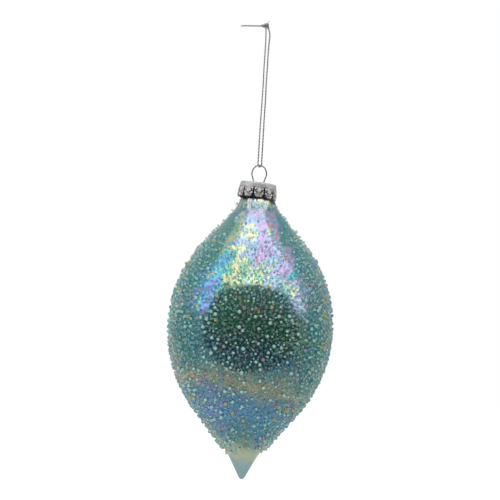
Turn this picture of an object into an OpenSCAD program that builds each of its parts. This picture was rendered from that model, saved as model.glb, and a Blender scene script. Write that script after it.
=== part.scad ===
// Drop-shaped hanging ornament: a blown glass drop with a coat of tiny glass beads, a stamped crown
// cap, a sprung wire hanger in its neck and a loop of twisted metallic thread.
// Millimetres. The origin is the top of the thread loop, just under its knot, where a hook or twig
// holds the ornament. +Z is up, so the ornament hangs below the origin. The wire ring lies in the XZ
// plane and is seen face on along +Y.

/* [Glass drop] */
// Largest radius of the blown glass
belly_r = 40; // [39:0.5:41]
// Radius of the long arc that the belly follows
belly_arc_r = 66; // [64:1:68]
// Angle between the axis and the straight stretches above and below the belly
cone_a = 39; // [38:0.5:40]
// Outer radius of the neck
neck_r = 8; // [7.9:0.05:8.1]
// Straight length of the neck
neck_len = 2.9; // [2.5:0.1:3.5]
// Radius of the hollow curve between neck and shoulder
hollow_r = 18; // [16:1:20]
// Angle between the axis and the nib at the lower end
nib_a = 28; // [26:1:30]
// Radius at which the taper turns into the nib
nib_r = 7.9; // [7:0.1:9]
// Radius of the curve between taper and nib
nib_blend_r = 40; // [30:1:50]
// Radius of the rounded lower tip
tip_r = 1.7; // [1.5:0.1:2]
// Thickness of the glass
wall_t = 0.8; // [0.6:0.1:1]

/* [Bead coat] */
// Radius of the large glass beads
bead_r = 0.8; // [0.6:0.1:0.9]
// Distance between neighbouring large beads
bead_pitch = 5; // [5:0.5:8]
// Thickness of the clear adhesive that holds the beads
coat_t = 0.3; // [0.2:0.05:0.4]
// How deep each bead sits in the adhesive
bead_sink = 0.25; // [0.15:0.05:0.25]

/* [Cap] */
// Height of the cap, top plate to the ends of its tabs
cap_h = 8; // [7.6:0.1:8.4]
// Outer radius of the cap at its shoulder
cap_r = 9.1; // [9:0.1:9.2]
// Outer radius of the cap at the ends of its tabs
cap_low_r = 9.9; // [9.5:0.1:10]
// Sheet thickness of the cap
cap_t = 0.35; // [0.3:0.05:0.4]
// Number of tabs round the skirt
tabs = 11; // [8:1:12]
// Width of the slit between two tabs
slit_w = 0.6; // [0.4:0.1:0.8]
// Angle by which the front tab is turned to the right
tab_turn = 4.5; // [0:0.5:15]

/* [Wire hanger] */
// Thickness of the spring wire
wire_d = 0.66; // [0.6:0.02:0.7]
// Radius of the ring's top, to the middle of the wire
ring_top_r = 3.2; // [3:0.05:3.4]
// Width of the ring at its widest, between the middles of the wire
ring_w = 7.32; // [7.2:0.04:7.6]
// Drop from the ring's top to its widest place
ring_drop = 4.26; // [4.2:0.02:4.4]
// Distance between the two legs where they pass through the cap
leg_gap = 4.9; // [4.8:0.1:5]
// Diameter of the two wire holes in the cap
wire_hole_d = 1; // [0.9:0.05:1.2]

/* [Thread] */
// Thickness of the twisted thread
thread_d = 0.8; // [0.7:0.05:0.8]

/* [Hidden] */
$fn = 96;

// Heights along Z. The thread bears on the ring's top wire at ring_z.
ring_z = -69.2;
eye_h = 9;                            // from the middle of the ring's top wire to the top of the cap
cap_z = ring_z - eye_h;               // top of the cap
rim_gap = 0.15;                       // air between the cap's plate and the rim of the neck
rim_z = cap_z - cap_t - rim_gap;      // rim of the glass neck

// Heights and radii of the glass outline, with h = 0 at the belly's widest place
belly_x = belly_r - belly_arc_r;
h_cone = belly_arc_r * sin(cone_a);
r_cone = belly_x + belly_arc_r * cos(cone_a);
hollow_x = neck_r + hollow_r;
r_hollow = hollow_x - hollow_r * cos(cone_a);
h_hollow = h_cone + (r_cone - r_hollow) / tan(cone_a);
h_neck = h_hollow + hollow_r * sin(cone_a);
h_rim = h_neck + neck_len;
h_nib = -h_cone - (r_cone - nib_r) / tan(cone_a);
blend_len = nib_blend_r * tan((cone_a - nib_a) / 2);
blend_x = nib_r + blend_len * sin(cone_a) + nib_blend_r * cos(cone_a);
blend_h = h_nib + blend_len * cos(cone_a) - nib_blend_r * sin(cone_a);
tip_h = h_nib - nib_r / tan(nib_a) + tip_r / sin(nib_a);
belly_z = rim_z - h_rim;

// Points from angle a to angle b on an arc
function arc(x, y, r, a, b, steps) =
    [for (i = [0:steps]) [x, y] + r * [cos(a + (b - a) * i / steps), sin(a + (b - a) * i / steps)]];

// The drop's outline from rim to tip, w inside its outer surface
function outline(w) = concat(
    [[neck_r - w, h_rim]],
    arc(hollow_x, h_neck, hollow_r + w, 180, 180 + cone_a, 12),
    arc(belly_x, 0, belly_arc_r - w, cone_a, -cone_a, 32),
    arc(blend_x, blend_h, nib_blend_r + w, 180 - cone_a, 180 - nib_a, 5),
    arc(0, tip_h, tip_r - w, -nib_a, -90, 6)
);
function reversed(list) = [for (i = [len(list) - 1:-1:0]) list[i]];

module glass_body() {
    color([0.16, 0.5, 0.5, 0.7])
    translate([0, 0, belly_z])
    rotate_extrude() polygon(concat(outline(0), reversed(outline(wall_t))));
}

// Adhesive: a thin clear skin on the glass, from coat_top down to coat_low
coat_top = h_neck - 6;
coat_low = tip_h + 6;

module adhesive_coat() {
    color([0.8, 0.9, 0.9, 0.4])
    translate([0, 0, belly_z])
    rotate_extrude() intersection() {
        polygon(concat(outline(-coat_t), reversed(outline(0))));
        translate([0, coat_low]) square([2 * belly_r, coat_top - coat_low]);
    }
}

// Radius of the glass and tilt of its outward normal above level, at height h
function tilt_at(h) =
    h > h_hollow ? asin((h_neck - h) / hollow_r) :
    h > h_cone ? cone_a :
    h > -h_cone ? asin(h / belly_arc_r) : -cone_a;
function radius_at(h) =
    h > h_hollow ? hollow_x - hollow_r * cos(tilt_at(h)) :
    h > h_cone ? r_cone - (h - h_cone) * tan(cone_a) :
    h > -h_cone ? belly_x + belly_arc_r * cos(tilt_at(h)) : max(r_cone + (h + h_cone) * tan(cone_a), nib_r);

// Heights of the rows of beads, one pitch apart along the glass
function rows(h, low) = h < low ? [] : concat([h], rows(h - bead_pitch * cos(tilt_at(h)), low));
row_top = coat_top - 1;
row_low = h_nib + 5;
bead_rows = rows(row_top, row_low);
bead_out = coat_t - bead_sink + bead_r;     // from the glass to a bead's middle
row_turn = 20;                              // each row is turned this far from the row above

// The large beads of rows first to last
module beads(first, last) {
    color([0.75, 0.85, 0.85])
    for (k = [first:last]) {
        h = bead_rows[k];
        tilt = tilt_at(h);
        count = floor(2 * PI * radius_at(h) / bead_pitch);
        for (i = [0:count - 1])
            rotate([0, 0, row_turn * k + 360 * i / count])
            translate([radius_at(h) + bead_out * cos(tilt), 0, belly_z + h + bead_out * sin(tilt)])
            sphere(r = bead_r, $fn = 24);
    }
}
last_row = len(bead_rows) - 1;
band_ends = [for (share = [0.3, 0.44, 0.56, 0.7, 1]) round(last_row * share)];
module beads_shoulder() beads(0, band_ends[0]);
module beads_upper() beads(band_ends[0] + 1, band_ends[1]);
module beads_belly() beads(band_ends[1] + 1, band_ends[2]);
module beads_lower() beads(band_ends[2] + 1, band_ends[3]);
module beads_taper() beads(band_ends[3] + 1, band_ends[4]);

// Cap: a plate with two wire holes, a rounded shoulder and a flared skirt cut into tabs
shoulder_r = 0.9;                     // outer rounding between plate and skirt
slit_top = 3;                         // uncut height of the skirt, from the plate's top
tab_notch_r = 1.1;                    // rounding between the ends of two tabs
function cap_side(w) = concat(
    arc(cap_r - shoulder_r, -shoulder_r, shoulder_r - w, 90, 0, 8),
    [[cap_low_r - w, -cap_h]]
);

module cap() {
    color("silver")
    translate([0, 0, cap_z])
    difference() {
        rotate_extrude() polygon(concat([[0, 0]], cap_side(0), reversed(cap_side(cap_t)), [[0, -cap_t]]));
        for (i = [0:tabs - 1]) rotate([0, 0, 360 * (i + 0.5) / tabs + tab_turn - 90]) {
            translate([cap_r - 2, -slit_w / 2, -cap_h - 1]) cube([4, slit_w, cap_h + 1 - slit_top]);
            translate([cap_r - 2, 0, -cap_h]) rotate([0, 90, 0]) cylinder(r = tab_notch_r, h = 4);
        }
        for (side = [-1, 1]) translate([side * leg_gap / 2, 0, -2]) cylinder(d = wire_hole_d, h = 3);
    }
}

// Wire hanger: an oval ring over two legs that bow out against the neck's inside. The ring's top is one
// arc, and each side is a longer arc that meets it smoothly.
top_c = ring_z - ring_top_r;                       // height of the top arc's middle
side_c = ring_z - ring_drop;                       // height of the side arcs' middles
side_r = (pow(ring_w / 2, 2) + pow(top_c - side_c, 2) - pow(ring_top_r, 2)) / (ring_w - 2 * ring_top_r);
side_x = ring_w / 2 - side_r;                      // middle of the arc on the +X side
join_a = atan2(top_c - side_c, -side_x);           // angle above level where the top and side arcs meet
ring_side_a = 25;                                  // the side arcs end this far below level
leg_x = leg_gap / 2;
leg_straight = 4;                                  // straight stretch from the cap's top down
bow_x = neck_r - wall_t - wire_d / 2 - 0.25;       // widest place of the legs
bow_z = cap_z - leg_straight - 5.5;
foot_x = 3.2;
foot_z = cap_z - 19;

bend_d = wire_d + 0.04;                            // the wire is a trace thicker where it is bent

// A straight piece of wire from point a, with a bend there, to point b in the XZ plane
module wire(a, b) {
    d = b - a;
    translate([a[0], 0, a[1]]) {
        rotate([0, atan2(d[0], d[1]), 0]) cylinder(d = wire_d, h = norm(d));
        sphere(d = bend_d);
    }
}

// Wire bent to an arc of radius r about point c in the XZ plane, from angle a to angle b
module bent(c, r, a, b) {
    translate([c[0], 0, c[1]]) rotate([90, 0, 0]) rotate([0, 0, a])
        rotate_extrude(angle = b - a) translate([r, 0]) circle(d = wire_d);
}

module wire_hanger() {
    side_mid = [side_x, side_c];
    color("gainsboro") {
        bent([0, top_c], ring_top_r, join_a, 180 - join_a);
        for (side = [0, 1]) mirror([side, 0, 0]) {
            bent(side_mid, side_r, -ring_side_a, join_a);
            translate([side_x + side_r * cos(join_a), 0, side_c + side_r * sin(join_a)]) sphere(d = bend_d);
            wire(side_mid + side_r * [cos(ring_side_a), -sin(ring_side_a)], [leg_x, cap_z + 0.2]);
            wire([leg_x, cap_z + 0.2], [leg_x, cap_z - leg_straight]);
            wire([leg_x, cap_z - leg_straight], [bow_x, bow_z]);
            wire([bow_x, bow_z], [foot_x, foot_z]);
            translate([foot_x, 0, foot_z]) sphere(d = bend_d);
        }
    }
}

// Thread. Both strands of the loop are one route, split where the bight can turn under them.
turn_z = -60;                                      // level where the bight hangs from the two strands
bight_gap = wire_d / 2 + thread_d / 2 + 0.08;      // from the ring wire's middle to the thread's
left_strand = [
    [-0.9, -0.4, 0.2], [-0.7, -0.4, -2], [-0.6, -0.4, -6], [-0.6, -0.5, -12], [-0.7, -0.6, -20],
    [-0.6, -0.7, -28], [-0.7, -0.8, -36], [-0.8, -1, -44], [-0.9, -1.2, -52], [-0.9, -1.3, -60]
];
right_strand = [
    [0.3, 0.4, 0.4], [0.9, 0.4, -1], [1.3, 0.4, -3], [1.3, 0.4, -5], [1.1, 0.4, -8], [1, 0.5, -13],
    [1, 0.6, -20], [0.9, 0.7, -28], [1, 0.8, -36], [0.9, 1, -44], [0.9, 1.2, -52], [0.9, 1.3, -60]
];
bight_r = 1.6;                                     // radius of the bend under the ring's wire
bight_turn = 55;                                   // turn of the bend's plane from the XZ plane
bight_c = ring_z - bight_gap + bight_r;
bight = concat(
    [[-0.9, -1.3, -60], [-0.9, -1.3, -64]],
    [for (a = [180:22.5:360]) [bight_r * cos(a) * cos(bight_turn), bight_r * cos(a) * sin(bight_turn),
                               bight_c + bight_r * sin(a)]],
    [[0.9, 1.3, -64], [0.9, 1.3, -60]]
);
long_tail = [[-3.3, 0, 1.4], [-4.8, 0.1, 1.25], [-6.5, -0.1, 1.15], [-8.5, 0.1, 1.1], [-10.5, 0, 1],
             [-12.3, 0.1, 0.9], [-13.5, 0, 0.6]];
short_tail = [[-0.2, 0, 2.4], [-0.1, 0.1, 2.9], [0.1, 0, 3.4]];

function unit(v) = v / norm(v);
across = [-sin(bight_turn), cos(bight_turn), 0];   // square to the bight's plane, and to no stretch along it
// Corner k of the 8-sided ring at point i of a route. The ring stands across the mean direction.
function tube_ring(route, i, r) =
    let (d = unit(route[min(i + 1, len(route) - 1)] - route[max(i - 1, 0)]),
         u = unit(cross(d, across)), v = cross(u, d))
    [for (k = [0:7]) route[i] + r * cos(45 * k) * u + r * sin(45 * k) * v];

// A plain tube of 8 sides along a route
module tube(route, d) {
    n = len(route);
    points = [for (i = [0:n - 1]) each tube_ring(route, i, d / 2)];
    sides = [for (i = [0:n - 2], k = [0:7]) let (a = 8 * i + k, b = 8 * i + (k + 1) % 8)
             each [[a, b, b + 8], [a, b + 8, a + 8]]];
    ends = [[for (k = [7:-1:0]) k], [for (k = [0:7]) 8 * (n - 1) + k]];
    polyhedron(points = points, faces = concat(sides, ends), convexity = 4);
}

module thread_loop() {
    color("lightgray") {
        tube(left_strand, thread_d);
        tube(right_strand, thread_d);
    }
}

module thread_bight() {
    color("lightgray") tube(bight, thread_d);
}

module thread_knot() {
    color("gray") hull() {
        translate([-2.9, 0, 1.4]) sphere(r = 0.7, $fn = 16);
        translate([-0.9, 0, 1.6]) sphere(r = 1.25, $fn = 16);
        translate([0.1, 0, 1.5]) sphere(r = 1.1, $fn = 16);
    }
}

module thread_tail_long() {
    color("lightgray") tube(long_tail, thread_d);
}

module thread_tail_short() {
    color("lightgray") tube(short_tail, thread_d);
}

glass_body();
adhesive_coat();
beads_shoulder();
beads_upper();
beads_belly();
beads_lower();
beads_taper();
cap();
wire_hanger();
thread_loop();
thread_bight();
thread_knot();
thread_tail_long();
thread_tail_short();
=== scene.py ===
"""Blown glass drop ornament with a coat of glass beads, hung on a loop of two-ply metallic thread."""
import math

import bpy
import numpy as np
from mathutils import Matrix, Vector


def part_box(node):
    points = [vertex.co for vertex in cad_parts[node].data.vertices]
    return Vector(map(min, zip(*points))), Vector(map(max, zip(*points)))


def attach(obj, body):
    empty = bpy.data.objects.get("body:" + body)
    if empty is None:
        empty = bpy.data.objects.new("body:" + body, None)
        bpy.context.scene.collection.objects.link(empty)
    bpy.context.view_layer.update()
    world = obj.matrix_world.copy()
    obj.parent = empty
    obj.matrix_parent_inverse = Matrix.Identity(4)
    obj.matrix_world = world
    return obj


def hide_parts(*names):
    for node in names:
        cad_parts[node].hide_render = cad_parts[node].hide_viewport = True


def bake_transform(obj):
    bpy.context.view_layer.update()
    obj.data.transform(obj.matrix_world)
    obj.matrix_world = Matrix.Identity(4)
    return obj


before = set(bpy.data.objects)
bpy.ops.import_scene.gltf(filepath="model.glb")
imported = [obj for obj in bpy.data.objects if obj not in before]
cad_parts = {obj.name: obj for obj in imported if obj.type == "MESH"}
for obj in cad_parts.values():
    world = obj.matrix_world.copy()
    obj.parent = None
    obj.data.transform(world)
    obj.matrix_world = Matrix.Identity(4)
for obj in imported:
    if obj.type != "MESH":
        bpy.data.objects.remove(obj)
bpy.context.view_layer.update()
MM = 0.001
rng = np.random.default_rng(24)

# ------------------------------------------------------------------ places taken from the frame
RIM_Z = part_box("glass_body")[1][2]          # top of the glass neck
CAP_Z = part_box("cap")[1][2]                 # top of the cap
RING_TOP_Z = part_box("wire_hanger")[1][2]    # top of the wire ring

# The glass outline, as in the CAD model: arcs joined by straight cones
BELLY_R = 40 * MM
BELLY_ARC_R = 66 * MM
CONE_A = math.radians(39)
NECK_R = 8 * MM
NECK_LEN = 2.9 * MM
HOLLOW_R = 18 * MM
NIB_A = math.radians(28)
NIB_R = 7.9 * MM
NIB_BLEND_R = 40 * MM
TIP_R = 1.7 * MM
WALL_T = 0.8 * MM
COAT_T = 0.3 * MM

BELLY_X = BELLY_R - BELLY_ARC_R
H_CONE = BELLY_ARC_R * math.sin(CONE_A)
R_CONE = BELLY_X + BELLY_ARC_R * math.cos(CONE_A)
HOLLOW_X = NECK_R + HOLLOW_R
R_HOLLOW = HOLLOW_X - HOLLOW_R * math.cos(CONE_A)
H_HOLLOW = H_CONE + (R_CONE - R_HOLLOW) / math.tan(CONE_A)
H_NECK = H_HOLLOW + HOLLOW_R * math.sin(CONE_A)
H_RIM = H_NECK + NECK_LEN
H_NIB = -H_CONE - (R_CONE - NIB_R) / math.tan(CONE_A)
BLEND_LEN = NIB_BLEND_R * math.tan((CONE_A - NIB_A) / 2)
BLEND_X = NIB_R + BLEND_LEN * math.sin(CONE_A) + NIB_BLEND_R * math.cos(CONE_A)
BLEND_H = H_NIB + BLEND_LEN * math.cos(CONE_A) - NIB_BLEND_R * math.sin(CONE_A)
TIP_H = H_NIB - NIB_R / math.tan(NIB_A) + TIP_R / math.sin(NIB_A)
BELLY_Z = RIM_Z - H_RIM


# ------------------------------------------------------------------ camera
def look_at(obj, target, roll=0.0):
    """Turns obj's -Z towards target, then rolls it about its own line of sight."""
    direction = Vector(target) - obj.location
    turn = direction.to_track_quat("-Z", "Y").to_matrix() @ Matrix.Rotation(roll, 3, "Z")
    obj.rotation_euler = turn.to_euler()


CAMERA_DISTANCE = 0.86
CAMERA_H = 6 * MM                # height of the camera above the belly
CAMERA_ROLL = math.radians(3.34)
AIM_X, AIM_H = -2.4 * MM, 38.8 * MM
PICTURE_WIDTH = 0.2511           # width of the picture at the ornament
SENSOR_WIDTH = 36
cam_data = bpy.data.cameras.new("camera")
cam_data.sensor_width = SENSOR_WIDTH
cam_data.lens = SENSOR_WIDTH * CAMERA_DISTANCE / PICTURE_WIDTH
camera = bpy.data.objects.new("camera", cam_data)
bpy.context.scene.collection.objects.link(camera)
bpy.context.scene.camera = camera
camera.location = (AIM_X, -CAMERA_DISTANCE, BELLY_Z + CAMERA_H)
look_at(camera, (AIM_X, 0, BELLY_Z + AIM_H), CAMERA_ROLL)


# ------------------------------------------------------------------ mesh helpers
def mesh_object(name, verts, *face_sets, smooth=True):
    """A mesh object from an array of points and arrays of faces, each array with its own face size."""
    verts = np.asarray(verts, np.float32)
    sets = [np.asarray(faces, np.int32) for faces in face_sets if len(faces)]
    sizes = np.concatenate([np.full(len(faces), faces.shape[1], np.int32) for faces in sets])
    mesh = bpy.data.meshes.new(name)
    mesh.vertices.add(len(verts))
    mesh.vertices.foreach_set("co", verts.ravel())
    mesh.loops.add(int(sizes.sum()))
    mesh.loops.foreach_set("vertex_index", np.concatenate([faces.ravel() for faces in sets]))
    mesh.polygons.add(len(sizes))
    mesh.polygons.foreach_set("loop_start", np.concatenate([[0], np.cumsum(sizes)[:-1]]).astype(np.int32))
    mesh.polygons.foreach_set("loop_total", sizes)
    mesh.update(calc_edges=True)
    mesh.validate()
    mesh.polygons.foreach_set("use_smooth", np.full(len(mesh.polygons), smooth))
    obj = bpy.data.objects.new(name, mesh)
    bpy.context.scene.collection.objects.link(obj)
    return obj


def joined(parts):
    """One (points, faces) pair from several that share a face size."""
    verts, faces, base = [], [], 0
    for points, polys in parts:
        verts.append(np.asarray(points, float))
        faces.append(np.asarray(polys, int) + base)
        base += len(points)
    return np.concatenate(verts), np.concatenate(faces)


def spline(points, step):
    """Points a step apart along a Catmull-Rom curve through the given ones."""
    pts = np.asarray(points, float)
    padded = np.vstack([2 * pts[0] - pts[1], pts, 2 * pts[-1] - pts[-2]])
    fine = []
    for a, b, c, d in zip(padded, padded[1:], padded[2:], padded[3:]):
        for t in np.linspace(0, 1, 24, endpoint=False):
            fine.append(0.5 * ((2 * b) + (c - a) * t + (2 * a - 5 * b + 4 * c - d) * t ** 2
                               + (3 * b - a - 3 * c + d) * t ** 3))
    fine = np.array(fine + [pts[-1]])
    along = np.concatenate([[0], np.cumsum(np.linalg.norm(np.diff(fine, axis=0), axis=1))])
    count = max(2, int(round(along[-1] / step)) + 1)
    at = np.linspace(0, along[-1], count)
    return np.stack([np.interp(at, along, fine[:, i]) for i in range(3)], axis=1), at


def travelling_frames(path):
    """Tangent, normal and binormal at each point, with no twist of their own."""
    tangent = np.gradient(path, axis=0)
    tangent /= np.linalg.norm(tangent, axis=1)[:, None]
    normal = np.cross(tangent[0], [0.3, 0.9, 0.1])
    normals = []
    for t in tangent:
        normal = normal - t * normal.dot(t)
        normal /= np.linalg.norm(normal)
        normals.append(normal)
    normals = np.array(normals)
    return tangent, normals, np.cross(tangent, normals)


def sweep(path, radius, sides=10, frames=None):
    """Points and quads of a tube along path, closed at both ends. radius is one number, or one per point."""
    path = np.asarray(path, float)
    _, normal, binormal = frames or travelling_frames(path)
    radius = np.broadcast_to(radius, len(path))
    angle = np.linspace(0, 2 * math.pi, sides, endpoint=False)
    ring = np.cos(angle)[None, :, None] * normal[:, None] + np.sin(angle)[None, :, None] * binormal[:, None]
    verts = (path[:, None] + radius[:, None, None] * ring).reshape(-1, 3)
    faces = []
    for i in range(len(path) - 1):
        for k in range(sides):
            n = (k + 1) % sides
            faces.append([i * sides + k, i * sides + n, (i + 1) * sides + n, (i + 1) * sides + k])
    last = (len(path) - 1) * sides
    middle = len(verts)
    for k in range(0, sides, 2):            # each end is closed with quads that share its middle point
        faces.append([middle, (k + 2) % sides, k + 1, k])
        faces.append([middle + 1, last + k, last + k + 1, last + (k + 2) % sides])
    verts = np.vstack([verts, path[0], path[-1]])
    return verts, np.array(faces)


# ------------------------------------------------------------------ material helpers
class Nodes:
    """A short way to build a material's node tree. A value may be a constant or another node's output."""

    def __init__(self, name):
        self.material = bpy.data.materials.new(name)
        self.material.use_nodes = True
        self.tree = self.material.node_tree
        self.shader = self.tree.nodes["Principled BSDF"]

    def plug(self, socket, value):
        if isinstance(value, bpy.types.NodeSocket):
            self.tree.links.new(value, socket)
        else:
            socket.default_value = value

    def feed(self, node, inputs):
        """Sets a node's inputs by name, with _ for a space."""
        for key, value in inputs.items():
            self.plug(next(s for s in node.inputs if s.name == key.replace("_", " ")), value)

    def new(self, kind, **inputs):
        node = self.tree.nodes.new("ShaderNode" + kind)
        self.feed(node, inputs)
        return node

    def maths(self, operation, a, b=0.0):
        node = self.new("Math")
        node.operation = operation
        for socket, value in zip(node.inputs, (a, b)):
            self.plug(socket, value)
        return node.outputs[0]

    def mix(self, factor, a, b):
        node = self.new("Mix")
        node.data_type = "RGBA"
        for index, value in ((0, factor), (6, a), (7, b)):      # the factor's and the two colours' inputs
            self.plug(node.inputs[index], value)
        return node.outputs[2]

    def ramp(self, factor, stops):
        node = self.new("ValToRGB")
        while len(node.color_ramp.elements) < len(stops):
            node.color_ramp.elements.new(0.5)
        for element, (position, colour) in zip(node.color_ramp.elements, stops):
            element.position = position
            element.color = colour if len(colour) == 4 else (*colour, 1)
        self.plug(node.inputs[0], factor)
        return node.outputs[0]

    def coords(self):
        return self.new("TexCoord").outputs["Object"]

    def stretched(self, scale, offset=(0, 0, 0)):
        return self.new("Mapping", Vector=self.coords(), Scale=scale, Location=offset).outputs[0]

    def noise(self, vector, scale, detail=3.0, roughness=0.55, distortion=0.0):
        return self.new("TexNoise", Vector=vector, Scale=scale, Detail=detail, Roughness=roughness,
                        Distortion=distortion).outputs["Fac"]

    def bump(self, height, strength, distance):
        return self.new("Bump", Height=height, Strength=strength, Distance=distance).outputs[0]

    def painted(self, layer):
        """The colour of a mesh's own layer of point colours."""
        node = self.new("VertexColor")
        node.layer_name = layer
        return node.outputs[0]

    def set(self, **inputs):
        self.feed(self.shader, inputs)


def grey(value):
    return (value, value, value, 1)


# ------------------------------------------------------------------ thread: route, plies, knot and free ends
def metres(points):
    """Points given in millimetres, as vectors in metres."""
    return [Vector(p) * MM for p in points]


THREAD_D = 0.8 * MM
PLIES = [(0.16 * MM, 0.24 * MM), (0.26 * MM, 0.14 * MM)]      # radius and offset: bright ply, and dark ply whose near black is painted shade of the silver twist
PLY_SIDES = 8
PLY_PITCH = 1.62 * MM               # one full turn of the two plies
FIBRE_STEP = 0.1 * MM
HAIR_R = 0.035 * MM

# Routes of the thread, in millimetres from the top of its loop
LEFT_STRAND = [(-0.9, -0.4, 0.2), (-0.7, -0.4, -2), (-0.6, -0.4, -6), (-0.6, -0.5, -12), (-0.7, -0.6, -20),
               (-0.6, -0.7, -28), (-0.7, -0.8, -36), (-0.8, -1, -44), (-0.9, -1.2, -52), (-0.9, -1.3, -60)]
RIGHT_STRAND = [(0.3, 0.4, 0.4), (0.9, 0.4, -1), (1.3, 0.4, -3), (1.3, 0.4, -5), (1.1, 0.4, -8),
                (1, 0.5, -13), (1, 0.6, -20), (0.9, 0.7, -28), (1, 0.8, -36), (0.9, 1, -44), (0.9, 1.2, -52),
                (0.9, 1.3, -60)]
LONG_TAIL = [(-3.3, 0, 1.4), (-4.8, 0.1, 1.25), (-6.5, -0.1, 1.15), (-8.5, 0.1, 1.1), (-10.5, 0, 1),
             (-12.3, 0.1, 0.9), (-13.5, 0, 0.6)]
SHORT_TAIL = [(-0.2, 0, 2.4), (-0.1, 0.1, 2.9), (0.1, 0, 3.4)]
WIRE_R = 0.33 * MM
RING_Z = (RING_TOP_Z - WIRE_R) / MM                 # the wire's middle at the ring's top, in millimetres
BIGHT_GAP = (WIRE_R + THREAD_D / 2) / MM + 0.08     # from there down to the middle of the thread
BIGHT_R = 1.6
BIGHT_TURN = math.radians(55)
bight_c = RING_Z - BIGHT_GAP + BIGHT_R
bight = [(BIGHT_R * math.cos(a) * math.cos(BIGHT_TURN), BIGHT_R * math.cos(a) * math.sin(BIGHT_TURN),
          bight_c + BIGHT_R * math.sin(a)) for a in np.radians(np.arange(180, 361, 22.5))]
LOOP_ROUTE = metres(LEFT_STRAND + [(-0.9, -1.3, -64)] + bight + [(0.9, 1.3, -64)] + RIGHT_STRAND[::-1])


def twisted(route, start=0.0, fray=0.0):
    """The two plies of a thread along a route, as [bright, dark] pairs of points and quads, and the route's
    own points and length. fray is the length over which the plies thin out at a cut end."""
    path, at = spline(route, FIBRE_STEP)
    frames = travelling_frames(path)
    _, normal, binormal = frames
    plies = []
    for ply, (radius, offset) in enumerate(PLIES):
        turn = start + 2 * math.pi * at / PLY_PITCH + math.pi * ply
        centre = path + offset * (np.cos(turn)[:, None] * normal + np.sin(turn)[:, None] * binormal)
        wraps = 1 + 0.07 * np.sin(2 * math.pi * at / (0.42 * MM) + ply)
        taper = np.clip((at[-1] - at) / fray, 0.45, 1) if fray else 1
        plies.append(sweep(centre, radius * wraps * taper, PLY_SIDES, frames))
    return plies, path, at[-1]


def ply_material(name, dark, middle, bright, metallic):
    n = Nodes(name)
    fibres = n.noise(n.stretched((1, 1, 0.35)), 5200, 2)
    n.set(Base_Color=n.ramp(fibres, [(0.32, dark), (0.5, middle), (0.68, bright)]), Metallic=metallic,
          Roughness=n.ramp(fibres, [(0.3, grey(0.45)), (0.7, grey(0.25))]),
          Normal=n.bump(fibres, 0.5, 0.00006))
    return n.material


# The dark ply's near black is painted shade: it stands in for the shaded turns of the silver thread
THREAD_MATERIALS = [ply_material("thread_foil", grey(0.30), grey(0.55), grey(0.80), 0.5),
                    ply_material("thread_shaded_ply", grey(0.006), (0.016, 0.018, 0.016, 1), grey(0.06), 0.2)]


def thread_object(name, stretches, loose=()):
    """One piece from stretches of thread, each a [bright, dark] pair, and loose bright filaments."""
    bright = [plies[0] for plies in stretches] + list(loose)
    dark = [plies[1] for plies in stretches]
    obj = mesh_object(name, *joined(bright + dark))
    for material in THREAD_MATERIALS:
        obj.data.materials.append(material)
    count = sum(len(faces) for _, faces in bright)
    is_shaded_ply = np.arange(len(obj.data.polygons)) >= count
    obj.data.polygons.foreach_set("material_index", is_shaded_ply.astype(np.int32))
    return obj


loop_plies, loop_path, _ = twisted(LOOP_ROUTE)
thread_loop = thread_object("thread_loop_plies", [loop_plies])
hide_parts("thread_loop", "thread_bight")


def wound(start, end, radii, turns, phase):
    """Route of a thread wound round the line from start to end, its radius going through the given ones."""
    start, end = Vector(start), Vector(end)
    axis = (end - start).normalized()
    side = Vector((0, 1, 0))
    up = axis.cross(side)
    route = []
    steps = int(turns * 14)
    for i in range(steps + 1):
        a = phase + 2 * math.pi * turns * i / steps
        radius = float(np.interp(i / steps, np.linspace(0, 1, len(radii)), radii))
        route.append(start.lerp(end, i / steps) + radius * (math.cos(a) * side + math.sin(a) * up))
    return metres(route)


KNOT_ROUTES = [         # the turns of the knot, and the two strands that run into it
    wound((-3.3, 0, 1.4), (0.45, 0, 1.5), (0.25, 0.55, 1.0, 1.05, 0.8), 4.6, phase=0.6),
    metres([(-0.9, -0.4, 0.25), (-1.0, -0.25, 0.9), (-0.6, 0.1, 1.5), (-1.6, 0.15, 1.6), (-2.6, 0.05, 1.5),
            (-3.35, 0, 1.4)]),
    metres([(0.3, 0.4, 0.45), (0.05, 0.45, 1.0), (-0.5, 0.2, 1.6), (-0.1, -0.1, 2.15), (-0.2, 0, 2.5)]),
]
knot_stretches = [twisted(route, start=k)[0] for k, route in enumerate(KNOT_ROUTES)]
thread_knot = thread_object("thread_knot_tied", knot_stretches)


def frayed_end(name, route, hairs, spread):
    """A free end of the thread: its two plies, and the loose filaments at its cut."""
    plies, path, _ = twisted(metres(route), fray=0.7 * MM)
    out = (path[-1] - path[-6]) / np.linalg.norm(path[-1] - path[-6])
    loose = []
    for _ in range(hairs):
        lean = out + rng.normal(0, spread, 3)
        start = path[-8] + rng.normal(0, 0.1 * MM, 3)
        hair = [start, start + lean * 0.6 * MM, start + (lean + rng.normal(0, 0.25, 3)) * 1.1 * MM]
        loose.append(sweep(spline(hair, 0.12 * MM)[0], HAIR_R, PLY_SIDES))
    return thread_object(name, [plies], loose)


tail_long = frayed_end("thread_tail_long_plies", LONG_TAIL, 7, 0.25)
tail_short = frayed_end("thread_tail_short_plies", SHORT_TAIL, 16, 0.45)
for piece, node in ((thread_knot, "thread_knot"), (tail_long, "thread_tail_long"),
                    (tail_short, "thread_tail_short")):
    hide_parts(node)
    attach(piece, "thread")

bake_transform(thread_loop)


# ------------------------------------------------------------------ glass drop
def arc(x, y, r, a, b, steps):
    """Points on an arc, from angle a to angle b in radians."""
    return [(x + r * math.cos(a + (b - a) * i / steps), y + r * math.sin(a + (b - a) * i / steps))
            for i in range(steps + 1)]


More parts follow.
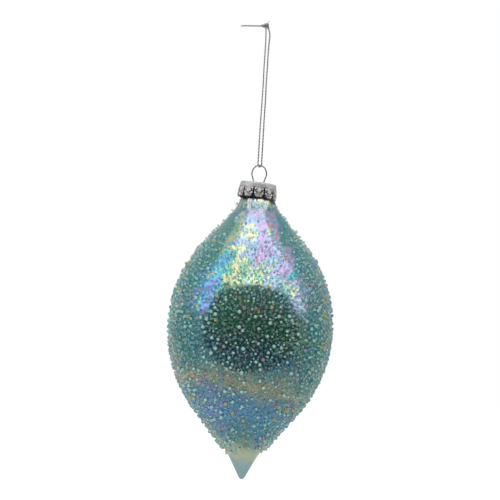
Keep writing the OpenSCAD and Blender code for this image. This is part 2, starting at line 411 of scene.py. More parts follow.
def outline(w, rim=H_RIM):
    """The drop's outline from rim to tip, w inside its outer surface: (radius, height above the belly)."""
    neck = [(NECK_R - w, H_NECK + (rim - H_NECK) * i / 4) for i in range(4, 0, -1)]
    return (neck + arc(HOLLOW_X, H_NECK, HOLLOW_R + w, math.pi, math.pi + CONE_A, 24)
            + arc(BELLY_X, 0, BELLY_ARC_R - w, CONE_A, -CONE_A, 96)
            + arc(BLEND_X, BLEND_H, NIB_BLEND_R + w, math.pi - CONE_A, math.pi - NIB_A, 10)
            + arc(0, TIP_H, TIP_R - w, -NIB_A, -math.pi / 2 * 0.97, 8) + [(0, TIP_H - TIP_R + w)])


def evened(points, step):
    """An outline with its points about a step apart."""
    pts = np.array(points)
    along = np.concatenate([[0], np.cumsum(np.linalg.norm(np.diff(pts, axis=0), axis=1))])
    at = np.linspace(0, along[-1], int(along[-1] / step) + 1)
    return np.stack([np.interp(at, along, pts[:, i]) for i in (0, 1)], axis=1)


def lathe(profile, segments, wobble=None):
    """Points, quads and triangles of a closed profile turned about Z. A point of radius 0 becomes a pole.
    wobble(angle, height) gives a shift of the radius."""
    angle = np.linspace(0, 2 * math.pi, segments, endpoint=False)
    verts, rings, quads, tris = [], [], [], []
    for r, h in profile:
        rings.append(len(verts))
        if r == 0:
            verts.append((0, 0, BELLY_Z + h))
            continue
        rr = r + wobble(angle, h) * min(1, r / (8 * MM)) if wobble else np.full(segments, r)
        verts.extend(zip(rr * np.cos(angle), rr * np.sin(angle), np.full(segments, BELLY_Z + h)))
    for i, here in enumerate(rings):
        below, low_r = rings[(i + 1) % len(rings)], profile[(i + 1) % len(rings)][0]
        for k in range(segments):
            n = (k + 1) % segments
            if profile[i][0] and low_r:
                quads.append((here + k, below + k, below + n, here + n))
            elif profile[i][0]:
                tris.append((here + k, below, here + n))
            elif low_r:
                tris.append((here, below + k, below + n))
    return verts, quads, tris


def blown(angle, h):
    """The slight unevenness of hand-blown glass."""
    return 0.06 * MM * (np.sin(2 * angle + 40 * h + 1) + 0.8 * np.sin(3 * angle - 85 * h)
                        + 0.7 * np.sin(5 * angle + 140 * h + 2) + 0.5 * np.sin(90 * h))


# Colours by height, from the tip (0) to the rim (1), with the belly's widest place at about 0.51
# Besides the glass's teal, the bands hold painted light: a painted reflection of the dark studio front (the
# dark navy to green band from 0.41 to 0.58), painted iridescent sheen (the blue and gold bands below the
# belly) and painted light shining through the pale yellow-green tip
TEAL_AND_PAINTED_REFLECTION_BANDS = [(0.0, (0.28, 0.46, 0.50)), (0.04, (0.34, 0.50, 0.50)), (0.065, (0.58, 0.62, 0.38)),
               (0.095, (0.52, 0.58, 0.36)), (0.12, (0.26, 0.38, 0.32)), (0.16, (0.05, 0.25, 0.31)),
               (0.215, (0.02, 0.28, 0.56)), (0.255, (0.05, 0.23, 0.44)), (0.30, (0.42, 0.34, 0.14)),
               (0.36, (0.06, 0.21, 0.22)), (0.41, (0.003, 0.08, 0.17)), (0.50, (0.003, 0.16, 0.04)),
               (0.58, (0.006, 0.16, 0.10)), (0.66, (0.015, 0.24, 0.22)), (0.85, (0.015, 0.26, 0.26)),
               (1.0, (0.02, 0.22, 0.30))]
# Colours of the lustre's painted sheen, the pastel iridescence seen in the soft box's highlight, in the
# order in which they lie from left to right across the front
PAINTED_LUSTRE_SHEEN = [(0.17, (0.38, 0.32, 0.84)), (0.25, (0.10, 0.38, 0.90)), (0.35, (0.10, 0.62, 0.58)),
          (0.41, (0.90, 0.78, 0.24)), (0.46, (0.92, 0.86, 0.62)), (0.51, (0.44, 0.62, 0.80)),
          (0.56, (0.56, 0.50, 0.92)), (0.62, (0.90, 0.32, 0.74)), (0.67, (0.22, 0.50, 0.90)),
          (0.74, (0.03, 0.58, 0.40))]
# How strong the painted sheen is at each height
PAINTED_SHEEN_SHARE = [(0.0, grey(0.05)), (0.2, grey(0.3)), (0.42, grey(0.05)), (0.52, grey(0.15)),
                (0.57, grey(0.8)), (0.9, grey(0.8)), (1.0, grey(0.4))]
BAND_SLANT = 1.2                # the bands of colour run lower on the +X side
LUSTRE_TURN = 7.5               # how fast the lustre's colours follow on each other towards +X, per metre
LUSTRE_RISE = 4.0               # and up the shoulder
LUSTRE_MID = 34 * MM            # height above the belly at which the rise adds nothing
LUSTRE_LOBES = 2.0              # patches of strong painted sheen round the shoulder, one in front, where the soft box's highlight falls, and one behind
LOBE_SHARE = [(0.0, grey(0.15)), (0.22, grey(1.0))]
GAP_SHARE = [(0.0, grey(1)), (0.3, grey(0))]
BETWEEN_LOBES = (0.015, 0.22, 0.22, 1)      # plain teal, which takes the place of the painted bands at the belly's sides
BETWEEN_SHARE = [(0.30, grey(0)), (0.40, grey(0.85)), (0.62, grey(0.85)), (0.70, grey(0))]
# The front below the shoulder has no painted sheen
FRONT_SHARE = [(0.85, grey(0)), (0.91, grey(0.85))]
BELOW_SHARE = [(0.625, grey(1)), (0.65, grey(0))]
FLECK_SHARE = [(0.36, grey(0.35)), (0.56, grey(1.0))]
# Painted reflections: pale yellow, pale grey and dark streaks running down the neck
NECK_SHARE = [(0.885, grey(0)), (0.915, grey(0.85))]
NECK_PAINTED_REFLECTIONS = [(0.36, (0.60, 0.50, 0.14)), (0.44, (0.50, 0.54, 0.42)), (0.50, (0.02, 0.22, 0.32)),
                (0.55, (0.52, 0.54, 0.44)), (0.61, (0.01, 0.10, 0.15)), (0.68, (0.20, 0.42, 0.42))]
# Fine specks of other colours, and their share at each height
SPECKS = [(0.34, (0.02, 0.20, 0.62)), (0.45, (0.03, 0.42, 0.40)), (0.54, (0.52, 0.40, 0.12)),
          (0.66, (0.34, 0.22, 0.62))]
SPECK_SHARE = [(0.0, grey(0.05)), (0.12, grey(0.28)), (0.33, grey(0.28)), (0.39, grey(0.05)),
               (0.58, grey(0.05)), (0.66, grey(0.15))]
CAP_PAINTED_SHADE = (0.003, 0.03, 0.08, 1)          # painted shade: the dark reflection of the cap's underside on the glass right under the cap
CAP_PAINTED_SHADE_SLANT = 0.5
CAP_PAINTED_SHADE_SHARE = [(0.937, grey(0)), (0.941, grey(1))]
FILM_THICKNESS = (220.0, 640.0)             # of the lustre's thin film, in nanometres


def glass_material():
    n = Nodes("teal_lustre_glass")
    coords = n.coords()
    split = n.new("SeparateXYZ", Vector=coords)
    x, y, z = split.outputs
    level = n.maths("DIVIDE", n.maths("SUBTRACT", z, BELLY_Z + TIP_H), H_RIM - TIP_H)
    height = n.maths("ADD", level, n.maths("MULTIPLY", x, BAND_SLANT))
    cloud = n.noise(coords, 42, 4, 0.6, 0.6)
    unease = n.maths("SUBTRACT", cloud, 0.5)
    swirl = n.noise(n.stretched((1, 1, 0.6), (3, 1, 0)), 70, 5, 0.65, 1.2)
    flecks = n.noise(coords, 420, 3, 0.6)
    wavy = n.maths("ADD", height, n.maths("MULTIPLY", unease, 0.12))
    across = n.maths("MULTIPLY", x, LUSTRE_TURN)
    rise = n.maths("MULTIPLY", n.maths("SUBTRACT", z, BELLY_Z + LUSTRE_MID), LUSTRE_RISE)
    # Painted sheen: the pastel lustre colours that the highlight shows
    lustre = n.ramp(n.maths("ADD", swirl, n.maths("ADD", across, rise)), PAINTED_LUSTRE_SHEEN)
    turn = n.maths("ARCTAN2", x, n.maths("MULTIPLY", y, -1.0))
    lobe_turn = n.maths("ADD", n.maths("MULTIPLY", turn, LUSTRE_LOBES), n.maths("MULTIPLY", unease, 3.0))
    lobes = n.maths("COSINE", lobe_turn)
    between = n.maths("MULTIPLY", n.ramp(lobes, GAP_SHARE), n.ramp(wavy, BETWEEN_SHARE))
    specks = n.ramp(n.noise(coords, 1100, 2, 0.6), SPECKS)
    # The bands by height: the glass's teal with painted reflection, painted sheen and the tip's painted
    # light
    bands = n.mix(n.ramp(level, SPECK_SHARE), n.ramp(wavy, TEAL_AND_PAINTED_REFLECTION_BANDS), specks)
    teal = n.mix(between, bands, BETWEEN_LOBES)
    level_wavy = n.maths("ADD", level, n.maths("MULTIPLY", unease, 0.10))
    share = n.maths("MULTIPLY", n.ramp(level_wavy, PAINTED_SHEEN_SHARE), n.ramp(lobes, LOBE_SHARE))
    bare = n.maths("MULTIPLY", n.ramp(n.maths("COSINE", turn), FRONT_SHARE), n.ramp(level_wavy, BELOW_SHARE))
    share = n.maths("MULTIPLY", share, n.maths("SUBTRACT", 1.0, bare))
    patchy = n.maths("ADD", n.maths("MULTIPLY", cloud, 0.5), n.maths("MULTIPLY", flecks, 0.5))
    share = n.maths("MULTIPLY", share, n.ramp(patchy, FLECK_SHARE))
    colour = n.mix(share, teal, lustre)
    streak = n.noise(n.stretched((1, 1, 0.16), (-0.0045, 5, 0)), 430, 2)
    # painted reflection streaks on the neck
    colour = n.mix(n.ramp(level, NECK_SHARE), colour, n.ramp(streak, NECK_PAINTED_REFLECTIONS))
    # painted shade right under the cap
    under = n.maths("ADD", n.maths("ADD", level, n.maths("MULTIPLY", x, CAP_PAINTED_SHADE_SLANT)),
                    n.maths("MULTIPLY", n.maths("SUBTRACT", streak, 0.5), 0.04))
    colour = n.mix(n.ramp(under, CAP_PAINTED_SHADE_SHARE), colour, CAP_PAINTED_SHADE)
    film = n.new("MapRange", Value=n.noise(n.stretched((1, 1, 0.6), (0, 2, 1)), 110, 3, 0.6, 0.8),
                 From_Min=0.3, From_Max=0.7, To_Min=FILM_THICKNESS[0], To_Max=FILM_THICKNESS[1]).outputs[0]
    rough = n.ramp(flecks, [(0.35, grey(0.05)), (0.7, grey(0.13))])
    n.set(Base_Color=colour, Metallic=0.85, Roughness=rough, IOR=1.5, Coat_Weight=0.3,
          Coat_Roughness=0.04, Coat_IOR=1.5, Thin_Film_Thickness=film, Thin_Film_IOR=2.0,
          Normal=n.bump(n.noise(coords, 160, 3), 0.12, 0.0006))
    return n.material


# The rim stops short of the CAD's, so that the cap can sit a little askew on it
VISIBLE_RIM = H_RIM - 0.6 * MM
outer = evened(outline(0, VISIBLE_RIM), 0.8 * MM)
inner = evened(outline(WALL_T, VISIBLE_RIM)[::-1], 1.6 * MM)
glass = mesh_object("glass_drop", *lathe(np.vstack([outer, inner]), 192, blown))
glass.data.materials.append(glass_material())
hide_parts("glass_body")
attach(glass, "glass")


# ------------------------------------------------------------------ beads
def tilt_at(h):
    """Tilt of the glass's outward normal above level, at height h above the belly."""
    if h > H_HOLLOW:
        return math.asin(min(1, (H_NECK - h) / HOLLOW_R))
    if h > H_CONE:
        return CONE_A
    if h > -H_CONE:
        return math.asin(h / BELLY_ARC_R)
    return -CONE_A if h > H_NIB else -NIB_A


def radius_at(h):
    """Radius of the glass at height h above the belly."""
    if h > H_HOLLOW:
        return HOLLOW_X - HOLLOW_R * math.cos(tilt_at(h))
    if h > H_CONE:
        return R_CONE - (h - H_CONE) * math.tan(CONE_A)
    if h > -H_CONE:
        return BELLY_X + BELLY_ARC_R * math.cos(tilt_at(h))
    if h > H_NIB:
        return R_CONE + (h + H_CONE) * math.tan(CONE_A)
    return NIB_R + (h - H_NIB) * math.tan(NIB_A)


COAT_TOP = H_NECK - 5 * MM
FILM_TOP = H_HOLLOW + 2 * MM
FILM_LOW = H_NIB + 3 * MM
COAT_LOW = TIP_H + 6 * MM
BEAD_GAP = 0.05 * MM            # adhesive left between a bead and the glass
# Least and greatest radius of each size of bead, how many places are tried, and the room kept round each
BEAD_SIZES = [(0.74, 0.96, 6000, 1.25), (0.46, 0.70, 12000, 1.12), (0.24, 0.38, 11000, 1.1)]
BEAD_TOPS = [(18, 6), (38, 4), (49, 2.5)]     # height at which each size thins out, and over what height
BEAD_CELL = 2.8 * MM                          # beads this far apart can't touch


def bead_density(h, size):
    """Share of the tries kept at height h: mostly small beads on the shoulder, and hardly any on the nib."""
    top, spread = BEAD_TOPS[size]
    shoulder = 1 / (1 + math.exp(min(50, (h / MM - top) / spread)))
    nib = 1 / (1 + math.exp((-60 * MM - h) / (0.8 * MM)))
    return (0.02 + 0.98 * shoulder) * (0.01 + 0.99 * nib)


def bead_places():
    """Middles, radii and size numbers of beads scattered over the glass so that none overlap."""
    heights = np.linspace(COAT_LOW, COAT_TOP, 600)
    weight = np.array([radius_at(h) / max(0.2, math.cos(tilt_at(h))) for h in heights])
    total = np.cumsum(weight)
    grid, places = {}, []
    near = [(x, y, z) for x in (-1, 0, 1) for y in (-1, 0, 1) for z in (-1, 0, 1)]
    for size, (low, high, tries, room) in enumerate(BEAD_SIZES):
        picks = np.interp(rng.random(tries) * total[-1], total, heights)
        angles, keep = rng.random(tries) * 2 * math.pi, rng.random(tries)
        radii = (low + (high - low) * rng.random(tries)) * MM
        for h, angle, kept, r in zip(picks, angles, keep, radii):
            if kept > bead_density(h, size):
                continue
            tilt = tilt_at(h)
            out = radius_at(h) + (BEAD_GAP + r) * math.cos(tilt)
            x, y = out * math.cos(angle), out * math.sin(angle)
            z = BELLY_Z + h + (BEAD_GAP + r) * math.sin(tilt)
            key = tuple(int(math.floor(c / BEAD_CELL)) for c in (x, y, z))
            others = (other for step in near
                      for other in grid.get((key[0] + step[0], key[1] + step[1], key[2] + step[2]), ()))
            if all((x - ox) ** 2 + (y - oy) ** 2 + (z - oz) ** 2 >= ((r + s) * room) ** 2
                   for ox, oy, oz, s in others):
                grid.setdefault(key, []).append((x, y, z, r))
                places.append((x, y, z, r, size))
    return np.array(places)


def ball(corners, faces, levels):
    """Points and triangles of a round ball of radius 1, from a coarse one whose faces are split in four."""
    verts = [Vector(v).normalized() for v in corners]
    for _ in range(levels):
        halves, finer = {}, []
        for face in faces:
            mids = []
            for i, j in zip(face, face[1:] + face[:1]):
                key = (min(i, j), max(i, j))
                if key not in halves:
                    halves[key] = len(verts)
                    verts.append((verts[i] + verts[j]).normalized())
                mids.append(halves[key])
            finer += [(face[0], mids[0], mids[2]), (face[1], mids[1], mids[0]), (face[2], mids[2], mids[1]),
                      tuple(mids)]
        faces = finer
    return np.array([tuple(v) for v in verts]), np.array(faces)


GOLDEN = (1 + 5 ** 0.5) / 2
ROUND_BALL = ball([(-1, GOLDEN, 0), (1, GOLDEN, 0), (-1, -GOLDEN, 0), (1, -GOLDEN, 0), (0, -1, GOLDEN),
                   (0, 1, GOLDEN), (0, -1, -GOLDEN), (0, 1, -GOLDEN), (GOLDEN, 0, -1), (GOLDEN, 0, 1),
                   (-GOLDEN, 0, -1), (-GOLDEN, 0, 1)],
                  [(0, 11, 5), (0, 5, 1), (0, 1, 7), (0, 7, 10), (0, 10, 11), (1, 5, 9), (5, 11, 4),
                   (11, 10, 2), (10, 7, 6), (7, 1, 8), (3, 9, 4), (3, 4, 2), (3, 2, 6), (3, 6, 8),
                   (3, 8, 9), (4, 9, 5), (2, 4, 11), (6, 2, 10), (8, 6, 7), (9, 8, 1)], 1)
SMALL_BALL = ball([(1, 0, 0), (0, 1, 0), (-1, 0, 0), (0, -1, 0), (0, 0, 1), (0, 0, -1)],
                  [(0, 1, 4), (1, 2, 4), (2, 3, 4), (3, 0, 4), (1, 0, 5), (2, 1, 5), (3, 2, 5),
                   (0, 3, 5)], 1)

BEAD_TINTS = {          # name: (colour, how clear it is, share of the large, middle and small beads)
    "clear": ((0.90, 0.98, 0.97), 0.97, (0.52, 0.34, 0.30)),
    "pearl": ((0.50, 0.76, 0.70), 0.71, (0.25, 0.43, 0.50)),
    "teal": ((0.40, 0.80, 0.80), 0.92, (0.11, 0.11, 0.10)),
    "blue": ((0.40, 0.62, 0.98), 0.90, (0.045, 0.045, 0.04)),
    "rose": ((0.98, 0.62, 0.86), 0.88, (0.035, 0.035, 0.03)),
    "amber": ((1.0, 0.74, 0.36), 0.86, (0.04, 0.04, 0.03)),
}
BEAD_BALLS = [ROUND_BALL, ROUND_BALL, SMALL_BALL]


def bead_material(name, colour, clear):
    n = Nodes("bead_glass_" + name)
    n.set(Base_Color=(*colour, 1), Transmission_Weight=clear, Roughness=0.05, IOR=1.5)
    return n.material


BEAD_MATERIALS = [bead_material(name, colour, clear) for name, (colour, clear, _) in BEAD_TINTS.items()]
BEAD_BANDS = ["shoulder", "upper", "belly", "lower", "taper"]
places = bead_places()
band_low = [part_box("beads_" + band)[0][2] for band in BEAD_BANDS]
band_high = [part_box("beads_" + band)[1][2] for band in BEAD_BANDS]
cuts = [1.0] + [(low + high) / 2 for low, high in zip(band_low[:-1], band_high[1:])] + [-1.0]
for band, top, bottom in zip(BEAD_BANDS, cuts[:-1], cuts[1:]):
    chosen = places[(places[:, 2] <= top) & (places[:, 2] > bottom)]
    parts, tints = [], []
    for size, (ball_verts, ball_faces) in enumerate(BEAD_BALLS):
        group = chosen[chosen[:, 4] == size]
        verts = group[:, None, :3] + group[:, None, 3:4] * ball_verts[None]
        faces = ball_faces[None] + len(ball_verts) * np.arange(len(group))[:, None, None]
        parts.append((verts.reshape(-1, 3), faces.reshape(-1, 3)))
        shares = [share[size] for _, _, share in BEAD_TINTS.values()]
        tint = rng.choice(len(BEAD_TINTS), len(group), p=shares)
        tints.append(np.repeat(tint, len(ball_faces)))
    coat = mesh_object("beads_" + band + "_full", *joined(parts))
    for material in BEAD_MATERIALS:
        coat.data.materials.append(material)
    coat.data.polygons.foreach_set("material_index", np.concatenate(tints).astype(np.int32))
    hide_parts("beads_" + band)
    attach(coat, "glass")


# ------------------------------------------------------------------ adhesive film
def adhesive_material():
    n = Nodes("clear_adhesive")
    coords = n.coords()
    lumps = n.noise(coords, 700, 3)
    n.set(Base_Color=n.ramp(lumps, [(0.3, (0.10, 0.36, 0.36)), (0.7, (0.30, 0.52, 0.52))]), Alpha=0.02,
          Roughness=0.12, IOR=1.4, Normal=n.bump(lumps, 0.35, 0.0002))
    return n.material


def film_profile():
    """Section of the film, which thins out to nothing at both of its edges."""
    face = evened([p for p in outline(-0.02 * MM) if FILM_LOW <= p[1] <= FILM_TOP], 1.0 * MM)
    outer_face = []
    for r, h in face:
        edge = min(1, (FILM_TOP - h) / (8 * MM), (h - FILM_LOW) / (4 * MM))
        tilt, thick = tilt_at(h), COAT_T * 0.6 * max(0, edge)
        outer_face.append((r + thick * math.cos(tilt), h + thick * math.sin(tilt)))
    return np.vstack([outer_face[1:-1], face[::-1]])


film = mesh_object("adhesive_film", *lathe(film_profile(), 160, blown))
film.data.materials.append(adhesive_material())
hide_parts("adhesive_coat")
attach(film, "glass")


# ------------------------------------------------------------------ cap
TABS = 11
CAP_H = 8.0 * MM
CAP_R = 9.1 * MM
CAP_LOW_R = 9.9 * MM
SHOULDER_R = 0.9 * MM
SLIT_TOP = 2.9 * MM
SHEET_T = 0.3 * MM
WIRE_HOLE_R = 0.5 * MM
LEG_X = 2.45 * MM
CAP_LEAN = math.radians(4.2)            # the cap sits a little askew on the neck
TAB_TURN = math.radians(4.5)            # the front tab is turned this far to the right
TAB_COLS = 40
TAB_W = 2 * math.pi * 9.5 / TABS        # millimetres round the skirt from slit to slit
RELIEF_H = 0.28 * MM                    # height of the stamped pattern


def stroke(points, width, height=1.0):
    """Blobs along a line: (x, y, width, height) of each, in millimetres, 2.5 to each width."""
    pts = np.array(points, float)
    along = np.concatenate([[0], np.cumsum(np.linalg.norm(np.diff(pts, axis=0), axis=1))])
    at = np.linspace(0, along[-1], max(2, int(2.5 * along[-1] / width)))
    return [(np.interp(a, along, pts[:, 0]), np.interp(a, along, pts[:, 1]), width, height) for a in at]


def curl(x, y, r0, r1, a0, a1):
    """Points of a spiral about x, y."""
    return [(x + (r0 + (r1 - r0) * t) * math.cos(a0 + (a1 - a0) * t),
             y + (r0 + (r1 - r0) * t) * math.sin(a0 + (a1 - a0) * t)) for t in np.linspace(0, 1, 18)]


def tab_pattern():
    """The stamped pattern of one tab: x from its middle, y down from the top of the cap, in millimetres."""
    rosette_y = 4.1
    blobs = [(0, rosette_y, 0.22, 1.0)]
    for k in range(6):
        a = math.pi / 6 + k * math.pi / 3
        blobs += [(0.62 * math.cos(a), rosette_y + 0.62 * math.sin(a), 0.19, 0.9)]
    blobs += stroke(curl(0, rosette_y, 1.1, 1.1, 0, 2 * math.pi), 0.10, 0.55)
    for side in (-1, 1):
        flip = 0 if side > 0 else math.pi
        blobs += stroke(curl(side * 1.78, 3.5, 0.5, 0.12, flip - side * 2.4, flip + side * 2.6), 0.11, 0.95)
        blobs += stroke(curl(side * 1.76, 5.5, 0.5, 0.12, flip + side * 2.2, flip - side * 2.7), 0.11, 0.95)
        blobs += stroke([(side * 0.3, 7.2), (side * 0.8, 6.2)], 0.12, 0.9)
        blobs += stroke([(side * 0.85, 7.3), (side * 1.6, 6.6)], 0.12, 0.8)
        blobs += [(side * 1.05, 5.7, 0.14, 0.8), (side * 2.1, 4.5, 0.13, 0.8), (side * 1.2, 2.7, 0.13, 0.7)]
    blobs += stroke([(0, 7.2), (0, 6.1)], 0.13, 0.95) + [(0, 5.6, 0.16, 0.85), (0, 2.6, 0.14, 0.7)]
    return np.array(blobs)


def relief(x, y):
    """Height of the stamped pattern, 0 to 1, at points x, y in millimetres."""
    height = np.zeros_like(x)
    for bx, by, width, top in tab_pattern():
        height = np.maximum(height, top * np.exp(-((x - bx) ** 2 + (y - by) ** 2) / width ** 2))
    return height


def cap_mesh():
    """The stamped cap as one sheet: a plate with two wire holes, a rounded shoulder, and tabs with slits
    between them, round ends and a raised pattern. Also gives how far each point is raised, 0 to 1, and how
    much it belongs to the plain top."""
    cols = TABS * TAB_COLS
    bend, skirt = SHOULDER_R * math.pi / 2, CAP_H - SHOULDER_R
    alongs = np.concatenate([np.linspace(0, bend, 10), bend + skirt * np.linspace(0, 1, 62)[1:]])
    u = (np.arange(cols) % TAB_COLS) / TAB_COLS * 2 - 1
    angle = TAB_TURN - math.pi / 2 - math.pi / TABS + 2 * math.pi * np.arange(cols) / cols
    along, u = np.meshgrid(alongs, u, indexing="ij")
    part = np.clip((along - bend) / skirt, 0, 1)
    end = 1 - 0.09 * np.clip((np.abs(u) - 0.3) / 0.7, 0, 1) ** 2.2      # tabs end in a round scallop
    down = np.where(part < 0.5, part, 0.5 + (part - 0.5) * (end - 0.5) / 0.5)
    turn = np.clip(along / SHOULDER_R, 0, math.pi / 2)
    r = CAP_R - SHOULDER_R + SHOULDER_R * np.sin(turn) + (CAP_LOW_R - CAP_R) * down
    depth = SHOULDER_R * (1 - np.cos(turn)) + skirt * down
    edge = np.clip((1 - np.abs(u)) / 0.1, 0, 1)
    foot = np.clip((end - down) / 0.05, 0, 1)
    raised = relief(u * TAB_W / 2, depth / MM) * edge * foot
    grip = 0.5 * MM * np.clip(down - 0.55, 0, 1) ** 2 / 0.2             # the tabs' ends press in on the neck
    bulge = 0.18 * MM * (1 - u ** 2) * np.clip(down, 0, 1)              # and each tab is a little rounder
    r = r + RELIEF_H * raised - grip + bulge
    side = np.stack([r * np.cos(angle), r * np.sin(angle), CAP_Z - depth], axis=2).reshape(-1, 3)
    slit_row = int(np.searchsorted(alongs, bend + (SLIT_TOP - SHOULDER_R)))
    quads = []
    for row in range(len(alongs) - 1):
        for c in range(cols):
            k = c % TAB_COLS
            if row < slit_row or 2 <= k < TAB_COLS - 2:
                n = (c + 1) % cols
                quads.append((row * cols + c, (row + 1) * cols + c, (row + 1) * cols + n, row * cols + n))
    plate, plate_quads = cap_plate(angle, len(side), side)
    plain = np.clip((alongs[slit_row] - along) / (0.8 * MM), 0, 1)
    raised = np.concatenate([raised.ravel(), np.zeros(len(plate))])
    plain = np.concatenate([plain.ravel(), np.ones(len(plate))])
    return np.vstack([side, plate]), quads + plate_quads, raised, plain


def cap_plate(angle, base, side):
    """Rings of the plate from its edge inwards, and their quads; the two wire holes are left open."""
    cols, reach = len(angle), 1.1 * MM
    rings = []
    for r in np.linspace(CAP_R - SHOULDER_R, 0.25 * MM, 26)[1:]:
        x, y = r * np.cos(angle), r * np.sin(angle)
        for sign in (-1, 1):            # points near a hole are pushed out to leave it round
            dx = x - sign * LEG_X
            d = np.maximum(np.hypot(dx, y), 1e-9)
            k = np.where(d < reach, (WIRE_HOLE_R + d * (reach - WIRE_HOLE_R) / reach) / d, 1)
            x, y = sign * LEG_X + dx * k, y * k
        dish = 0.25 * MM * math.exp(-((r - 4.6 * MM) / (1.0 * MM)) ** 2)
        rings.append(np.stack([x, y, np.full(cols, CAP_Z - dish)], axis=1))
    points = np.vstack([side[:cols]] + rings)
    quads = []
    for i in range(len(rings)):
        for c in range(cols):
            n = (c + 1) % cols
            corners = (i * cols + c, i * cols + n, (i + 1) * cols + n, (i + 1) * cols + c)
            middle = points[list(corners)].mean(axis=0)
            if min(math.hypot(middle[0] - sign * LEG_X, middle[1]) for sign in (-1, 1)) > WIRE_HOLE_R * 0.98:
                quads.append([k if k < cols else base + k - cols for k in corners])
    return np.vstack(rings), quads


def cap_material():
    n = Nodes("stamped_cap")
    coords = n.coords()
    tarnish = n.noise(coords, 900, 4, 0.6)
    brushed = n.noise(n.stretched((1, 1, 12)), 420, 3)
    height, plain, _ = n.new("SeparateColor", Color=n.painted("relief")).outputs
    # Painted shade and highlight: the flat ground of the stamped pattern is dark and its raised parts are
    # near white
    relief_shading = n.maths("ADD", height, n.maths("MULTIPLY", n.maths("SUBTRACT", tarnish, 0.5), 0.3))
    colour = n.ramp(relief_shading, [(0.03, (0.17, 0.145, 0.14)), (0.20, (0.52, 0.50, 0.49)),
                           (0.4, (0.93, 0.92, 0.91)), (1.0, (0.97, 0.96, 0.96))])
    colour = n.mix(plain, colour, n.ramp(tarnish, [(0.3, grey(0.46)), (0.7, grey(0.66))]))
    rough = n.maths("ADD", n.maths("MULTIPLY", brushed, 0.2), n.maths("MULTIPLY", tarnish, 0.2))
    rough = n.maths("ADD", rough, n.maths("MULTIPLY", plain, 0.3))
    n.set(Base_Color=colour, Metallic=0.9, Roughness=rough,
          Normal=n.bump(n.noise(coords, 2600, 2), 0.18, 0.00008))
    return n.material


cap_verts, cap_quads, cap_raised, cap_plain = cap_mesh()
lean = np.array(Matrix.Rotation(CAP_LEAN, 3, "Y"))
cap_verts = (cap_verts - (0, 0, CAP_Z)) @ lean.T + (0, 0, CAP_Z)
cap = mesh_object("cap_stamped", cap_verts, cap_quads)
layer = cap.data.color_attributes.new("relief", "FLOAT_COLOR", "POINT")
layer.data.foreach_set("color", np.stack([cap_raised, cap_plain, cap_raised * 0, cap_raised * 0 + 1],
                                         axis=1).ravel().astype(np.float32))
solid = cap.modifiers.new("thickness", "SOLIDIFY")
solid.thickness = SHEET_T
solid.offset = -1
bpy.context.view_layer.objects.active = cap
cap.select_set(True)
bpy.ops.object.modifier_apply(modifier="thickness")
cap.select_set(False)
cap.data.materials.append(cap_material())
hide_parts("cap")
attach(cap, "cap")


# ------------------------------------------------------------------ wire hanger
def wire_material():
    n = Nodes("spring_wire")
    coords = n.coords()
    drawn = n.noise(n.stretched((1, 1, 0.1)), 3000, 3)
    n.set(Base_Color=n.ramp(drawn, [(0.3, (0.30, 0.305, 0.31)), (0.7, (0.55, 0.56, 0.57))]), Metallic=1.0,
          Roughness=n.ramp(n.noise(coords, 500, 3), [(0.3, grey(0.2)), (0.7, grey(0.38))]),
          Normal=n.bump(drawn, 0.2, 0.00003))
    return n.material


RING_TOP_R = 3.2 * MM               # the ring's top is one arc, and each side is a longer one
RING_W = 7.32 * MM
RING_DROP = 4.26 * MM
RING_SIDE_A = math.radians(25)
top_c, side_c = RING_Z * MM - RING_TOP_R, RING_Z * MM - RING_DROP
side_r = ((RING_W / 2) ** 2 + (top_c - side_c) ** 2 - RING_TOP_R ** 2) / (RING_W - 2 * RING_TOP_R)
side_x = RING_W / 2 - side_r
join_a = math.atan2(top_c - side_c, -side_x)
# One leg: distance from the middle and height from the cap's top, in millimetres
LEG = [(2.58, 0.75), (2.45, 0.0), (2.45, -1.2), (2.45, -2.8), (2.5, -3.7), (2.95, -4.7), (5.0, -7.4),
       (6.3, -8.9), (6.55, -9.6), (6.2, -10.6), (4.9, -13.8), (3.5, -17.9), (3.2, -19)]


def hanger_half():
    """Half of the wire's line on the +X side, from the top of the ring to the end of the leg."""
    top = arc(0, top_c, RING_TOP_R, math.pi / 2, join_a, 6)
    flank = arc(side_x, side_c, side_r, join_a, -RING_SIDE_A, 8)[1:]
    return top + flank + [(x * MM, CAP_Z + z * MM) for x, z in LEG]


half = hanger_half()
wire_line = [(-x, 0, z) for x, z in half[:0:-1]] + [(x, 0, z) for x, z in half]
wire_path, _ = spline(wire_line, 0.25 * MM)
hanger = mesh_object("wire_hanger_bent", *sweep(wire_path, WIRE_R, 14))
hanger.data.materials.append(wire_material())
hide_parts("wire_hanger")
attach(hanger, "hanger")


# ------------------------------------------------------------------ stage: floor, light and dark room
def stage_material(name, colour, emission, alpha=None):
    """A material that shines by itself, with alpha's stops turning a card's shade into how solid it is."""
    n = Nodes(name)
    n.set(Base_Color=(0, 0, 0, 1) if alpha else (*colour, 1), Specular_IOR_Level=0.0, Roughness=0.9,
          Emission_Color=(*colour, 1), Emission_Strength=emission)
    if alpha:
        n.set(Alpha=n.ramp(n.painted("shade"), alpha))
    return n.material


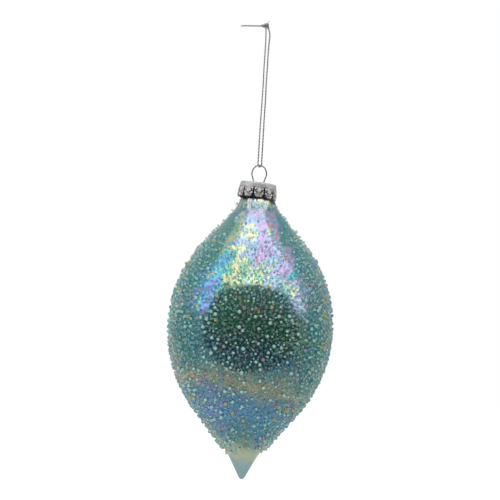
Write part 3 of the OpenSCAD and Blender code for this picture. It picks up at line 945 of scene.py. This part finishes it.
def sky_card(name, distance, azimuths, elevations, shade, material):
    """A curved card round the ornament, seen only in reflections. Azimuths, from the camera's side, and
    elevations are in degrees. shade(across, up) gives its shade, 0 to 1, from -1 to 1 across and up."""
    cols, rows = 64, 40
    verts, shades = [], []
    for up in np.linspace(-1, 1, rows + 1):
        for across in np.linspace(-1, 1, cols + 1):
            a = math.radians(azimuths[0] + (azimuths[1] - azimuths[0]) * (across + 1) / 2)
            e = math.radians(elevations[0] + (elevations[1] - elevations[0]) * (up + 1) / 2)
            verts.append((distance * math.cos(e) * math.sin(a), -distance * math.cos(e) * math.cos(a),
                          BELLY_Z + distance * math.sin(e)))
            shades.append([max(0.0, min(1.0, shade(across, up)))] * 3 + [1.0])
    first = [j * (cols + 1) + i for j in range(rows) for i in range(cols)]
    obj = mesh_object(name, verts, [(k, k + 1, k + cols + 2, k + cols + 1) for k in first])
    obj.data.color_attributes.new("shade", "FLOAT_COLOR", "POINT").data.foreach_set(
        "color", np.array(shades, np.float32).ravel())
    obj.data.materials.append(material)
    obj.visible_camera = False
    obj.visible_shadow = False
    return obj


FULL_SHADE = [(0.0, grey(0)), (1.0, grey(1))]
EARLY_SHADE = [(0.08, grey(0)), (0.14, grey(0.98))]
FLOOR_Z = -0.46
FLOOR_W = 6
floor_corners = [(FLOOR_W * x, FLOOR_W * y, FLOOR_Z) for x, y in ((-1, -1), (1, -1), (1, 1), (-1, 1))]
floor = mesh_object("floor", floor_corners, [(0, 1, 2, 3)], smooth=False)
floor.data.materials.append(stage_material("floor", (0.95, 0.95, 0.95), 0.55))
floor.visible_glossy = False
floor.visible_transmission = False

room = sky_card("dark_room", 1.15, (-74, 78), (-42, 41), lambda x, y: 1 - math.hypot(x, y) ** 2,
                stage_material("dark_room", (0.004, 0.012, 0.009), 0.0, EARLY_SHADE))
room.visible_diffuse = False
sky_card("strip_light", 1.1, (-34, 42), (39, 46), lambda x, y: min(1, (1 - abs(x)) * 4, (1 - abs(y)) * 3),
         stage_material("strip_light", (1, 1, 1), 2.2, FULL_SHADE))
sky_card("soft_box", 1.4, (-88, 86), (8, 90), lambda x, y: min(1, (1 - abs(x)) * 16, (1 + y) * 8),
         stage_material("soft_box", (1, 1, 1), 1.5, FULL_SHADE))

world = bpy.data.worlds.new("studio")
bpy.context.scene.world = world
world.use_nodes = True
tree = world.node_tree
backdrop = tree.nodes["Background"]
backdrop.inputs[0].default_value = (1, 1, 1, 1)
surroundings = tree.nodes.new("ShaderNodeBackground")
surroundings.inputs[0].default_value = (0.96, 1.0, 1.0, 1)
surroundings.inputs[1].default_value = 0.58
seen_by = tree.nodes.new("ShaderNodeLightPath")
mix = tree.nodes.new("ShaderNodeMixShader")
tree.links.new(seen_by.outputs["Is Camera Ray"], mix.inputs[0])
tree.links.new(surroundings.outputs[0], mix.inputs[1])
tree.links.new(backdrop.outputs[0], mix.inputs[2])
tree.links.new(mix.outputs[0], tree.nodes["World Output"].inputs[0])

key_data = bpy.data.lights.new("key", "AREA")
key_data.energy = 9
key_data.size = 0.5
key = bpy.data.objects.new("key", key_data)
bpy.context.scene.collection.objects.link(key)
key.location = (-0.35, -0.7, 0.45)
look_at(key, (0, 0, -0.1))
key.visible_camera = False
key.visible_glossy = False
key.visible_transmission = False

bpy.context.scene.view_settings.view_transform = "Standard"
bpy.context.scene.view_settings.look = "None"
